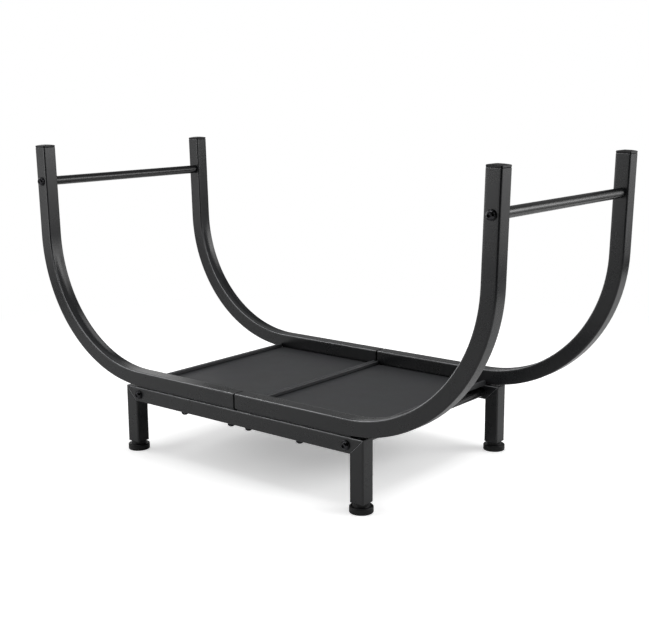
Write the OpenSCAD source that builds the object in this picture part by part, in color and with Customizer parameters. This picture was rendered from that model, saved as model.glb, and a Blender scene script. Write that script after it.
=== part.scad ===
// Firewood rack: four bent square-tube half arms bolted over a low four-legged base,
// with two folded deck sheets clamped between arms and rails.
// Millimetres. +X runs along the length, +Y from front to back, +Z up.
// The origin is on the floor, under the middle of the rack.

/* [Overall size] */
// Outside length over the posts
rack_length = 750; // [500:5:1000]
// Outside depth over the front and back arms
rack_depth = 315; // [220:1:450]
// Height of the cap rims above the floor
rack_height = 406.4; // [300:0.1:600]

/* [Square tube] */
// Outside width of the square tube
tube_side = 20; // [15:0.5:30]
// Outside corner radius of the square tube
tube_corner = 2; // [1:0.25:4]
// Wall thickness of the square tube
tube_wall = 1.2; // [0.8:0.1:2]

/* [Half arms] */
// Bend radius of an arm, measured at the tube's centreline
bend_radius = 186; // [120:1:220]
// Outward lean of the posts, in degrees
post_lean = 1.5; // [0:0.25:5]
// Gap between the two half arms where they meet in the middle
seam_gap = 1.4; // [0.2:0.1:2]

/* [Base] */
// Outside length of a rail with its two legs
base_length = 404; // [300:1:500]
// Height of the rails' top faces above the floor
rail_top = 90; // [60:1:150]
// Height of the leg ends above the floor, with the feet screwed home
leg_end = 12; // [10:0.5:20]

/* [Deck sheets] */
// Thickness of the folded sheets
sheet_thick = 1.5; // [1:0.1:2]
// Height of the turned-up, hemmed lips above the sheet's top face
lip_height = 6; // [5:0.5:12]
// Gap inside the open hem of each lip
hem_gap = 1; // [0.4:0.1:2]
// Distance from the middle of the rack to the outer face of an end lip
deck_reach = 184; // [150:1:200]
// Gap between the two lips that meet in the middle
lip_gap = 1.6; // [0.4:0.1:3]
// Corner radius at both ends of each lip
lip_end_radius = 2.5; // [1:0.5:5]
// Inside radius of the folds
fold_radius = 1; // [0.5:0.25:2]

/* [Round bars] */
// Diameter of the round bars
bar_d = 12.4; // [8:0.1:16]
// Height of the post bars above the floor
post_bar_z = 357; // [250:0.5:500]
// Distance of each tie bar from the middle of the rack
tie_bar_x = 177; // [120:1:200]

/* [Bar screws] */
// Thread diameter of the screws that hold the round bars
bar_screw_d = 6; // [5:1:8]
// Head diameter of these screws
bar_head_d = 10.5; // [8:0.1:14]
// Head height of these screws
bar_head_h = 3.3; // [2:0.1:5]
// Width across the flats of their hexagon sockets
bar_socket = 4; // [3:1:5]
// Shank length of these screws
bar_screw_length = 35; // [25:5:45]

/* [Arm screws] */
// Thread diameter of the screws that hold the arms from below
arm_screw_d = 5; // [4:1:6]
// Head diameter of these screws
arm_head_d = 9.5; // [7:0.1:12]
// Head height of these screws
arm_head_h = 2.8; // [2:0.1:4]
// Width across the flats of their hexagon sockets
arm_socket = 3; // [2.5:0.5:4]
// Shank length of these screws
arm_screw_length = 30; // [25:5:40]
// Distance of the inner arm screws from the middle of the rack
arm_screw_inner = 15; // [10:1:40]
// Distance of the outer arm screws from the middle of the rack
arm_screw_outer = 99; // [60:1:160]

/* [Levelling feet] */
// Diameter of a foot pad
pad_d = 28.8; // [20:0.2:40]
// Height of a foot pad's wide part
pad_h = 8; // [5:0.5:12]
// Diameter of a foot's neck
neck_d = 20; // [14:0.5:24]
// Thread diameter of a foot's stem
stem_d = 8; // [6:1:10]
// Clear length of the stem above the pad's wide part
stem_length = 28; // [20:1:40]

/* [Hidden] */
$fn = 96;
over = 1;
join = 0.01;
hexagon_sides = 6;
half_tube = tube_side / 2;
tube_inside = tube_side - 2 * tube_wall;
arm_row_y = rack_depth / 2 - half_tube;
inner_face_y = rack_depth / 2 - tube_side;
arm_under = rail_top + sheet_thick;
arm_z = arm_under + half_tube;
bend_z = arm_z + bend_radius;
rim_reach = (rack_height - bend_z + bend_radius * sin(post_lean)) / cos(post_lean);
rim_x = rack_length / 2 - half_tube * cos(post_lean);
bend_x = rim_x - rim_reach * sin(post_lean) - bend_radius * cos(post_lean);
post_bar_x = rim_x - (rack_height - post_bar_z) * tan(post_lean);
cap_rim = 2.5;
cap_dome = 1.5;
post_length = rim_reach - cap_rim;
cap_wall = 1.6;
cap_plug_side = tube_inside - 0.8;
cap_plug_depth = 14;
cap_fin_thick = 1;
cap_fin_side = tube_inside - 0.1;
cap_fin_pitch = 4;
cap_fin_count = 3;
rail_under = rail_top - tube_side;
rail_z = rail_top - half_tube;
leg_x = base_length / 2 - half_tube;
bar_length = 2 * inner_face_y;
bar_hole_depth = 20;
bar_hole_d = bar_screw_d + 0.6;
arm_hole_d = arm_screw_d + 0.5;
thread_slack = 0.1;
head_cheek = 0.8;
head_top_share = 0.57;
socket_depth_share = 0.62;
screw_tip = 0.8;
bar_washer_d = 12;
bar_washer_h = 1.6;
arm_washer_d = 10;
arm_washer_h = 1.2;
spring_washer_d = 9.2;
spring_washer_h = 1.5;
spring_washer_slot = 1.2;
washer_slack = 0.4;
nut_flats = 8;
nut_h = 4;
sheet_margin = 2.5;
lip_clear = 1;
lip_top = rail_top + sheet_thick + lip_height;
hem_inner = hem_gap / 2;
hem_outer = hem_inner + sheet_thick;
hem_end_gap = 1;
insert_side = tube_inside - 0.1;
insert_corner = 0.7;
insert_h = 18;
foot_gap = 0.2;
pad_edge = 1.5;
pad_chamfer = 0.8;
stem_head_flats = 13;
stem_head_h = 4;
stem_pocket_h = 5;
stem_slack = 0.12;
stem_tip = 1;
plastic_black = [0.05, 0.05, 0.05];
coat_black = [0.06, 0.062, 0.065];
screw_black = [0.04, 0.04, 0.042];
plated_grey = [0.6, 0.6, 0.58];

// Square with rounded corners, centred on the origin.
module rounded_square(side, corner) {
    square([side - 2 * corner, side], center = true);
    square([side, side - 2 * corner], center = true);
    for (x = [-1, 1], y = [-1, 1])
        translate([x * (side / 2 - corner), y * (side / 2 - corner)])
            circle(r = corner);
}

// Cross-section of the square tube.
module tube_section() {
    difference() {
        rounded_square(tube_side, tube_corner);
        rounded_square(tube_inside, tube_corner - tube_wall);
    }
}

// Straight tube from the origin along +X.
module tube_along_x(length) {
    rotate([90, 0, 90])
        linear_extrude(height = length)
            tube_section();
}

// Round rod centred on the origin, along Y.
module rod_along_y(diameter, length) {
    rotate([90, 0, 0])
        cylinder(d = diameter, h = length, center = true);
}

// Hexagon prism standing on the origin, sized across its flats.
module hexagon(flats, height) {
    cylinder(r = flats / sqrt(3), h = height, $fn = hexagon_sides);
}

// Puts a front right piece at the corner given by side (-1 left) and row (1 back).
module at_corner(side, row) {
    mirror([side < 0 ? 1 : 0, 0, 0])
        mirror([0, row > 0 ? 1 : 0, 0])
            children();
}

// Puts the origin at the end of the right bend, with +Z up along the post.
module from_bend() {
    translate([bend_x, 0, bend_z])
        rotate([0, post_lean, 0])
            translate([bend_radius, 0, 0])
                children();
}

// Right half arm in the front row: straight foot, bend and leaning post.
module half_arm() {
    translate([0, -arm_row_y, 0])
        difference() {
            union() {
                translate([seam_gap / 2, 0, arm_z])
                    tube_along_x(bend_x - seam_gap / 2);
                translate([bend_x, 0, bend_z])
                    rotate([90, 0, 0])
                        rotate([0, 0, -90])
                            rotate_extrude(angle = 90 - post_lean)
                                translate([bend_radius, 0])
                                    tube_section();
                from_bend()
                    linear_extrude(height = post_length)
                        tube_section();
            }
            translate([post_bar_x, 0, post_bar_z])
                rod_along_y(bar_hole_d, tube_side + 2 * over);
            for (x = [arm_screw_inner, arm_screw_outer])
                translate([x, 0, arm_under - over])
                    cylinder(d = arm_hole_d, h = tube_wall + 2 * over);
        }
}

// Low domed cap with its plug, in the front right post.
module post_cap() {
    cap_half_diagonal = half_tube * sqrt(2);
    cap_sphere = (pow(cap_half_diagonal, 2) + pow(cap_dome, 2)) / (2 * cap_dome);
    translate([0, -arm_row_y, 0])
        from_bend()
            translate([0, 0, post_length]) {
                intersection() {
                    linear_extrude(height = cap_rim + cap_dome)
                        rounded_square(tube_side, tube_corner);
                    translate([0, 0, cap_rim + cap_dome - cap_sphere])
                        sphere(r = cap_sphere);
                }
                cap_plug();
            }
}

// Hollow finned plug below a post cap.
module cap_plug() {
    difference() {
        union() {
            translate([0, 0, -cap_plug_depth])
                linear_extrude(height = cap_plug_depth + join)
                    rounded_square(cap_plug_side, insert_corner);
            for (k = [1 : cap_fin_count])
                translate([0, 0, -k * cap_fin_pitch])
                    linear_extrude(height = cap_fin_thick)
                        rounded_square(cap_fin_side, insert_corner);
        }
        translate([0, 0, -cap_plug_depth - over])
            linear_extrude(height = cap_plug_depth)
                square(cap_plug_side - 2 * cap_wall, center = true);
    }
}

// Half space beyond the mitre plane of the right base corner, on the leg's side.
module beyond_mitre() {
    block = 2 * tube_side;
    translate([base_length / 2, 0, rail_top])
        rotate([0, 45, 0])
            translate([0, -tube_side, -block])
                cube([block, block, 2 * block]);
}

// Front rail, mitred at both ends.
module rail() {
    translate([0, -arm_row_y, 0])
        difference() {
            translate([-base_length / 2, 0, rail_z])
                tube_along_x(base_length);
            beyond_mitre();
            mirror([1, 0, 0])
                beyond_mitre();
            for (x = [arm_screw_inner, arm_screw_outer], side = [-1, 1])
                translate([side * x, 0, rail_under - over])
                    cylinder(d = arm_hole_d, h = tube_side + 2 * over);
            for (side = [-1, 1])
                translate([side * tie_bar_x, 0, rail_z])
                    rod_along_y(bar_hole_d, tube_side + 2 * over);
        }
}

// Front right leg, mitred at its top.
module leg() {
    translate([0, -arm_row_y, 0])
        intersection() {
            translate([leg_x, 0, leg_end])
                linear_extrude(height = rail_top - leg_end)
                    tube_section();
            union() {
                beyond_mitre();
                translate([leg_x - tube_side, -tube_side, 0])
                    cube([2 * tube_side, 2 * tube_side, rail_under]);
            }
        }
}

// Edge view of one fold with its upright lip and open hem, from the lip's outer face at X = 0.
module hemmed_lip() {
    fold_outer = fold_radius + sheet_thick;
    hem_z = sheet_thick + lip_height - hem_outer;
    intersection() {
        translate([fold_outer, fold_outer])
            difference() {
                circle(r = fold_outer);
                circle(r = fold_radius);
            }
        square(fold_outer);
    }
    translate([0, fold_outer])
        square([sheet_thick, hem_z - fold_outer]);
    intersection() {
        translate([hem_outer, hem_z])
            difference() {
                circle(r = hem_outer);
                circle(r = hem_inner);
            }
        translate([0, hem_z])
            square(2 * hem_outer);
    }
    translate([sheet_thick + hem_gap, sheet_thick + hem_end_gap])
        square([sheet_thick, hem_z - sheet_thick - hem_end_gap]);
    translate([fold_outer, 0])
        square([sheet_margin, sheet_thick]);
}

// Edge view of the right deck sheet's two hemmed lips, in X and Z.
module lip_section() {
    for (end = [0, 1])
        translate([end == 0 ? lip_gap / 2 : deck_reach, rail_top])
            mirror([end, 0])
                hemmed_lip();
}

// Right deck sheet: flat plate clamped under the arms, lips only between them.
module deck_sheet() {
    fold_outer = fold_radius + sheet_thick;
    plate_start = lip_gap / 2 + fold_outer;
    plate_reach = rack_depth / 2 - sheet_margin;
    lip_reach = inner_face_y - lip_clear;
    difference() {
        translate([plate_start, -plate_reach, rail_top])
            cube([deck_reach - fold_outer - plate_start, 2 * plate_reach, sheet_thick]);
        for (x = [arm_screw_inner, arm_screw_outer], row = [-1, 1])
            translate([x, row * arm_row_y, rail_top - over])
                cylinder(d = arm_hole_d, h = sheet_thick + 2 * over);
    }
    intersection() {
        translate([0, lip_reach, 0])
            rotate([90, 0, 0])
                linear_extrude(height = 2 * lip_reach)
                    lip_section();
        rotate([90, 0, 90])
            linear_extrude(height = rack_length)
                lip_outline(lip_reach);
    }
}

// Side view of a lip with its rounded end corners, in Y and Z.
module lip_outline(reach) {
    translate([-reach, rail_top])
        square([2 * reach, lip_top - rail_top - lip_end_radius]);
    translate([-reach + lip_end_radius, rail_top])
        square([2 * (reach - lip_end_radius), lip_top - rail_top]);
    for (row = [-1, 1])
        translate([row * (reach - lip_end_radius), lip_top - lip_end_radius])
            circle(r = lip_end_radius);
}

// Round bar along Y with a tapped hole in each end, centred on the origin.
module round_bar() {
    difference() {
        rod_along_y(bar_d, bar_length);
        for (row = [-1, 1])
            translate([0, row * (bar_length - bar_hole_depth + join) / 2, 0])
                rod_along_y(bar_screw_d + thread_slack, bar_hole_depth);
    }
}

// Domed screw with its head above the origin and its shank along -Z.
module screw(thread_d, length, head_d, head_h, flats) {
    head_top_d = head_top_share * head_d;
    dome_rise = head_h - head_cheek;
    dome_low = (pow(head_d / 2, 2) - pow(head_top_d / 2, 2) - pow(dome_rise, 2)) / (2 * dome_rise);
    dome_r = sqrt(pow(head_d / 2, 2) + pow(dome_low, 2));
    socket_depth = socket_depth_share * head_h;
    difference() {
        intersection() {
            cylinder(d = head_d, h = head_h);
            translate([0, 0, head_cheek - dome_low])
                sphere(r = dome_r);
        }
        translate([0, 0, head_h - socket_depth])
            hexagon(flats, socket_depth + over);
    }
    translate([0, 0, -length + screw_tip])
        cylinder(d = thread_d, h = length - screw_tip + join);
    translate([0, 0, -length])
        cylinder(d1 = thread_d - 2 * screw_tip, d2 = thread_d, h = screw_tip);
}

// Turns a screw or washer so that its head points forwards.
module facing_front() {
    rotate([90, 0, 0])
        children();
}

// The four corner places of the screws at distance x from the middle and height z.
module at_faces(x, z) {
    for (side = [-1, 1], row = [-1, 1])
        at_corner(side, row)
            translate([x, -rack_depth / 2, z])
                facing_front()
                    children();
}

// The eight places of the arm screws, in plan.
module at_arm_screws() {
    for (x = [arm_screw_inner, arm_screw_outer], side = [-1, 1], row = [-1, 1])
        translate([side * x, row * arm_row_y, 0])
            children();
}

// Flat washer lying on the origin.
module washer(outside_d, thread_d, height) {
    difference() {
        cylinder(d = outside_d, h = height);
        translate([0, 0, -over])
            cylinder(d = thread_d + washer_slack, h = height + 2 * over);
    }
}

// Split spring washer lying on the origin.
module spring_washer() {
    difference() {
        washer(spring_washer_d, arm_screw_d, spring_washer_h);
        translate([0, -spring_washer_slot / 2, -over])
            cube([spring_washer_d, spring_washer_slot, spring_washer_h + 2 * over]);
    }
}

// Hexagon nut standing on the arm's lower wall.
module arm_nut() {
    translate([0, 0, arm_under + tube_wall])
        difference() {
            hexagon(nut_flats, nut_h);
            translate([0, 0, -over])
                cylinder(d = arm_screw_d + thread_slack, h = nut_h + 2 * over);
        }
}

// Threaded insert in the front right leg's end.
module leg_insert() {
    translate([leg_x, -arm_row_y, leg_end])
        difference() {
            linear_extrude(height = insert_h)
                rounded_square(insert_side, insert_corner);
            translate([0, 0, -over])
                cylinder(d = stem_d + stem_slack, h = insert_h + 2 * over);
        }
}

// Half outline of a foot pad, from its axis outwards.
module pad_section() {
    pad_r = pad_d / 2;
    polygon([[0, 0], [pad_r - pad_chamfer, 0], [pad_r, pad_chamfer], [pad_r, pad_h - pad_edge],
        [pad_r - pad_edge, pad_h - pad_edge], [pad_r - pad_edge, pad_h], [0, pad_h]]);
    intersection() {
        translate([pad_r - pad_edge, pad_h - pad_edge])
            circle(r = pad_edge);
        translate([pad_r - pad_edge, pad_h - pad_edge])
            square(pad_edge);
    }
    square([neck_d / 2, leg_end - foot_gap]);
}

// Foot pad under the front right leg, with a pocket for the stem's head.
module foot_pad() {
    translate([leg_x, -arm_row_y, 0])
        difference() {
            rotate_extrude()
                pad_section();
            translate([0, 0, -over])
                hexagon(stem_head_flats + 2 * stem_slack, stem_pocket_h + over);
            cylinder(d = stem_d + stem_slack, h = leg_end);
        }
}

// Threaded stem of the front right foot, with its hexagon head in the pad.
module foot_stem() {
    translate([leg_x, -arm_row_y, stem_pocket_h - stem_head_h]) {
        hexagon(stem_head_flats, stem_head_h);
        cylinder(d = stem_d, h = stem_length + leg_end - stem_pocket_h);
        translate([0, 0, stem_length + leg_end - stem_pocket_h])
            cylinder(d1 = stem_d, d2 = stem_d - 2 * stem_tip, h = stem_tip);
    }
}

// Round bar at the given distance from the middle and height.
module bar_at(x, z) {
    translate([x, 0, z])
        round_bar();
}

// The four washered screws that hold two round bars.
module bar_screws(x, z) {
    at_faces(x, z)
        translate([0, 0, bar_washer_h])
            screw(bar_screw_d, bar_screw_length, bar_head_d, bar_head_h, bar_socket);
}

// The washers under all the round bars' screws.
module bar_washer_set() {
    at_faces(post_bar_x, post_bar_z)
        washer(bar_washer_d, bar_screw_d, bar_washer_h);
    at_faces(tie_bar_x, rail_z)
        washer(bar_washer_d, bar_screw_d, bar_washer_h);
}

// The screws that hold the half arms, heads down.
module arm_screw_set() {
    at_arm_screws()
        translate([0, 0, rail_under - arm_washer_h - spring_washer_h])
            mirror([0, 0, 1])
                screw(arm_screw_d, arm_screw_length, arm_head_d, arm_head_h, arm_socket);
}

// The flat washers against the rails' undersides.
module arm_washer_set() {
    at_arm_screws()
        translate([0, 0, rail_under - arm_washer_h])
            washer(arm_washer_d, arm_screw_d, arm_washer_h);
}

// The spring washers under the arm screws' heads.
module arm_spring_washer_set() {
    at_arm_screws()
        translate([0, 0, rail_under - arm_washer_h - spring_washer_h])
            spring_washer();
}

// The nuts fixed inside the half arms.
module arm_nut_set() {
    at_arm_screws()
        arm_nut();
}

color(coat_black) at_corner(-1, -1) half_arm();  // arm_front_left
color(coat_black) at_corner(1, -1) half_arm();  // arm_front_right
color(coat_black) at_corner(-1, 1) half_arm();  // arm_back_left
color(coat_black) at_corner(1, 1) half_arm();  // arm_back_right
color(plastic_black) at_corner(-1, -1) post_cap();  // cap_front_left
color(plastic_black) at_corner(1, -1) post_cap();  // cap_front_right
color(plastic_black) at_corner(-1, 1) post_cap();  // cap_back_left
color(plastic_black) at_corner(1, 1) post_cap();  // cap_back_right
color(coat_black) at_corner(1, -1) rail();  // rail_front
color(coat_black) at_corner(1, 1) rail();  // rail_back
color(coat_black) at_corner(-1, -1) leg();  // leg_front_left
color(coat_black) at_corner(1, -1) leg();  // leg_front_right
color(coat_black) at_corner(-1, 1) leg();  // leg_back_left
color(coat_black) at_corner(1, 1) leg();  // leg_back_right
color(coat_black) at_corner(-1, -1) deck_sheet();  // deck_left
color(coat_black) at_corner(1, -1) deck_sheet();  // deck_right
color(coat_black) bar_at(-post_bar_x, post_bar_z);  // post_bar_left
color(coat_black) bar_at(post_bar_x, post_bar_z);  // post_bar_right
color(coat_black) bar_at(-tie_bar_x, rail_z);  // tie_bar_left
color(coat_black) bar_at(tie_bar_x, rail_z);  // tie_bar_right
color(screw_black) bar_screws(post_bar_x, post_bar_z);  // post_bar_screws
color(screw_black) bar_screws(tie_bar_x, rail_z);  // tie_bar_screws
color(screw_black) bar_washer_set();  // bar_washers
color(screw_black) arm_screw_set();  // arm_screws
color(screw_black) arm_washer_set();  // arm_washers
color(screw_black) arm_spring_washer_set();  // arm_spring_washers
color(plated_grey) arm_nut_set();  // arm_nuts
color(plastic_black) at_corner(-1, -1) leg_insert();  // insert_front_left
color(plastic_black) at_corner(1, -1) leg_insert();  // insert_front_right
color(plastic_black) at_corner(-1, 1) leg_insert();  // insert_back_left
color(plastic_black) at_corner(1, 1) leg_insert();  // insert_back_right
color(plastic_black) at_corner(-1, -1) foot_pad();  // pad_front_left
color(plastic_black) at_corner(1, -1) foot_pad();  // pad_front_right
color(plastic_black) at_corner(-1, 1) foot_pad();  // pad_back_left
color(plastic_black) at_corner(1, 1) foot_pad();  // pad_back_right
color(plated_grey) at_corner(-1, -1) foot_stem();  // stem_front_left
color(plated_grey) at_corner(1, -1) foot_stem();  // stem_front_right
color(plated_grey) at_corner(-1, 1) foot_stem();  // stem_back_left
color(plated_grey) at_corner(1, 1) foot_stem();  // stem_back_right
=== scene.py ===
import logging
import math
from collections.abc import Sequence
from dataclasses import dataclass, field
from enum import Enum

import bmesh
import bpy
from mathutils import Matrix, Vector

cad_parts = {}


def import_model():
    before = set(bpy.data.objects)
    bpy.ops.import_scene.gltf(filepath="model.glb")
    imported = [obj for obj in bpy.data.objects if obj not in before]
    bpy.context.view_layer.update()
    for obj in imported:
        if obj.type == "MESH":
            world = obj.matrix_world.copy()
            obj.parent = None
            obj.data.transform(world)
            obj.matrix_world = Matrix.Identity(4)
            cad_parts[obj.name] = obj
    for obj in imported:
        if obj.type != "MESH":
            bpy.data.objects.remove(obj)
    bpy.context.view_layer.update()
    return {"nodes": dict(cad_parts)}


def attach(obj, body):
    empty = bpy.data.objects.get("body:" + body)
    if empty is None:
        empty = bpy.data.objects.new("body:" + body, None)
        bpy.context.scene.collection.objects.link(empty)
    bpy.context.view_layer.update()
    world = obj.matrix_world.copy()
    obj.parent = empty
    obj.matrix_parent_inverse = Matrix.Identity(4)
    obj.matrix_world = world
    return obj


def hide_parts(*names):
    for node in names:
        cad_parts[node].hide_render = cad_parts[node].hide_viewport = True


# Lengths are in millimetres and angles in degrees, except where a docstring says otherwise.
MM = 0.001
LOG = logging.getLogger("firewood_rack")

# An edge is shaded as sharp where its faces turn by more than this.
SHARP_FROM = 38.0
# How far a drill stands out of the wall that it goes into, and how many corners it has.
DRILL_SPARE = 1.0
DRILL_POINTS = 24
# The noise texture's values mostly lie between these.
NOISE_LOW, NOISE_HIGH = 0.3, 0.7
# Sockets of the Mix node when it mixes colours; several of them share a name.
MIX_SHARE, MIX_FIRST, MIX_SECOND, MIX_RESULT = 0, 6, 7, 2

Ring = list[Vector]


def linear(hex_colour: str) -> tuple[float, float, float, float]:
    """Turns an sRGB colour into the linear one that a shader takes.

    Args:
        hex_colour: colour as "#rrggbb".

    Returns:
        Red, green, blue and an alpha of 1.
    """
    parts = [int(hex_colour[i : i + 2], 16) / 255 for i in (1, 3, 5)]
    red, green, blue = (
        part / 12.92 if part <= 0.04045 else ((part + 0.055) / 1.055) ** 2.4 for part in parts
    )
    return red, green, blue, 1.0


def add_node(
    tree: bpy.types.NodeTree,
    kind: str,
    settings: dict[str, object] | None = None,
    inputs: dict[str | int, object] | None = None,
) -> bpy.types.Node:
    """Adds a node with its settings and links.

    Args:
        tree: tree that gets the node.
        kind: Blender's identifier of the node.
        settings: the node's own properties, by name.
        inputs: for an input's name or number, its value or the output that is linked to it.
            A node stands for its first output.

    Returns:
        The new node.
    """
    node = tree.nodes.new(kind)
    for name, value in (settings or {}).items():
        setattr(node, name, value)
    for key, value in (inputs or {}).items():
        if isinstance(value, bpy.types.Node):
            value = value.outputs[0]
        if isinstance(value, bpy.types.NodeSocket):
            tree.links.new(value, node.inputs[key])
        else:
            node.inputs[key].default_value = value
    return node


def empty_tree(owner: bpy.types.Material | bpy.types.World) -> bpy.types.NodeTree:
    """Gives a material or a world a node tree with nothing in it.

    Args:
        owner: the material or the world.

    Returns:
        The tree.
    """
    owner.use_nodes = True
    owner.node_tree.nodes.clear()
    return owner.node_tree


def put_in_scene(name: str, data: bpy.types.ID) -> bpy.types.Object:
    """Makes an object and links it to the scene.

    Args:
        name: its name.
        data: its mesh, lamp or lens.

    Returns:
        The object.
    """
    made = bpy.data.objects.new(name, data)
    bpy.context.scene.collection.objects.link(made)
    return made


class Side(Enum):
    """Left or right end of the rack, as the sign of X."""

    LEFT = -1
    RIGHT = 1


class Row(Enum):
    """Front or back row of tubes, as the sign of Y."""

    FRONT = -1
    BACK = 1


class Slot(Enum):
    """The record's material slots."""

    TUBE = "tube_coat"
    SHEET = "sheet_coat"
    BAR = "bar_coat"
    SCREW = "screw_black"
    PLASTIC = "moulded_plastic"
    PLATED = "plated_steel"


@dataclass(frozen=True)
class Corner:
    """One of the rack's four corners."""

    row: Row
    side: Side

    @property
    def name(self) -> str:
        """Ending of the names of the nodes at this corner."""
        return f"{self.row.name}_{self.side.name}".lower()

    @property
    def turn(self) -> Matrix:
        """Mirrors a front right piece to this corner."""
        return Matrix.Diagonal((self.side.value, -self.row.value, 1, 1))


CORNERS = tuple(Corner(row, side) for row in Row for side in Side)


@dataclass(frozen=True)
class RackLayout:
    """Where tubes, bars and screws sit; the screw holes are given by their radius."""

    length: float = 750.0
    depth: float = 315.0
    rim_height: float = 406.4
    tube: float = 20.0
    tube_corner: float = 2.0
    tube_wall: float = 1.2
    bend_radius: float = 186.0
    post_lean: float = 1.5
    base_length: float = 404.0
    rail_top: float = 90.0
    sheet: float = 1.5
    leg_end: float = 12.0
    cap_rim: float = 2.5
    post_bar_z: float = 357.0
    tie_bar_x: float = 177.0
    arm_screws_x: tuple[float, float] = (15.0, 99.0)
    bar_screw_hole: float = 3.2
    arm_screw_hole: float = 2.7

    @property
    def row_y(self) -> float:
        """Distance of a row's tubes from the middle plane."""
        return (self.depth - self.tube) / 2

    @property
    def bend_z(self) -> float:
        """Height of the bends' centres."""
        return self.rail_top + self.sheet + self.tube / 2 + self.bend_radius

    @property
    def rim_reach(self) -> float:
        """Straight length of a post, from its bend to the cap's rim."""
        lean = math.radians(self.post_lean)
        return (self.rim_height - self.bend_z + self.bend_radius * math.sin(lean)) / math.cos(lean)

    @property
    def rim_x(self) -> float:
        """Distance of the cap rims' middles from the middle of the rack."""
        return self.length / 2 - self.tube / 2 * math.cos(math.radians(self.post_lean))

    @property
    def bend_x(self) -> float:
        """Distance of the bends' centres from the middle of the rack."""
        lean = math.radians(self.post_lean)
        return self.rim_x - self.rim_reach * math.sin(lean) - self.bend_radius * math.cos(lean)

    @property
    def post_bar_x(self) -> float:
        """Distance of the post bars from the middle of the rack."""
        drop = self.rim_height - self.post_bar_z
        return self.rim_x - drop * math.tan(math.radians(self.post_lean))

    @property
    def rail_under(self) -> float:
        """Height of the rails' undersides."""
        return self.rail_top - self.tube

    @property
    def rail_z(self) -> float:
        """Height of the rails' centrelines."""
        return self.rail_top - self.tube / 2

    @property
    def leg_x(self) -> float:
        """Distance of the legs' centrelines from the middle of the rack."""
        return (self.base_length - self.tube) / 2

    @property
    def bars(self) -> dict[str, tuple[float, float]]:
        """Distance from the middle and height of each kind of bar."""
        return {
            "post_bar": (self.post_bar_x, self.post_bar_z),
            "tie_bar": (self.tie_bar_x, self.rail_z),
        }

    def along_arm(self, corner: Corner, lean: float, reach: float) -> Matrix:
        """Gives a place on a half arm's centreline, with +Z along it and +X out of its bend.

        Args:
            corner: the arm's corner.
            lean: the centreline's angle from upright, 90 at the base and post_lean in the post.
            reach: distance onwards along the straight line that leaves the bend there.

        Returns:
            The place.
        """
        return (
            corner.turn
            @ Matrix.Translation((self.bend_x, -self.row_y, self.bend_z))
            @ Matrix.Rotation(math.radians(lean), 4, "Y")
            @ Matrix.Translation((self.bend_radius, 0, reach))
        )

    def outer_face(self, corner: Corner, x: float, z: float) -> Matrix:
        """Gives a place on a front or back face, with +Z pointing out of it.

        Args:
            corner: the corner on whose half it lies.
            x: its distance from the middle of the rack.
            z: its height.

        Returns:
            The place.
        """
        return (
            corner.turn
            @ Matrix.Translation((x, -self.depth / 2, z))
            @ Matrix.Rotation(math.radians(90), 4, "X")
        )

    def below_rail(self, corner: Corner, x: float, drop: float = 0.0) -> Matrix:
        """Gives a place under a rail, with +Z pointing down.

        Args:
            corner: the corner on whose half it lies.
            x: its distance from the middle of the rack.
            drop: its distance below the rail's underside.

        Returns:
            The place.
        """
        return (
            corner.turn
            @ Matrix.Translation((x, -self.row_y, self.rail_under - drop))
            @ Matrix.Rotation(math.radians(180), 4, "X")
        )


# Finishes


@dataclass(frozen=True)
class Finish:
    """A surface finish: one node material, made when first asked for."""

    name: str
    slot: Slot
    colour: str
    roughness: float

    def material(self) -> bpy.types.Material:
        """Gives the finish's material.

        Returns:
            The material of this name, built if it isn't there yet.
        """
        known = bpy.data.materials.get(self.name)
        if known:
            return known
        made = bpy.data.materials.new(self.name)
        tree = empty_tree(made)
        shader = add_node(tree, "ShaderNodeBsdfPrincipled", inputs=self.surface(tree))
        add_node(tree, "ShaderNodeOutputMaterial", inputs={"Surface": shader})
        return made

    def surface(self, tree: bpy.types.NodeTree) -> dict[str | int, object]:
        """Gives what goes into the shader; each finish adds its pattern here."""
        return {"Base Color": linear(self.colour), "Roughness": self.roughness}


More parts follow.
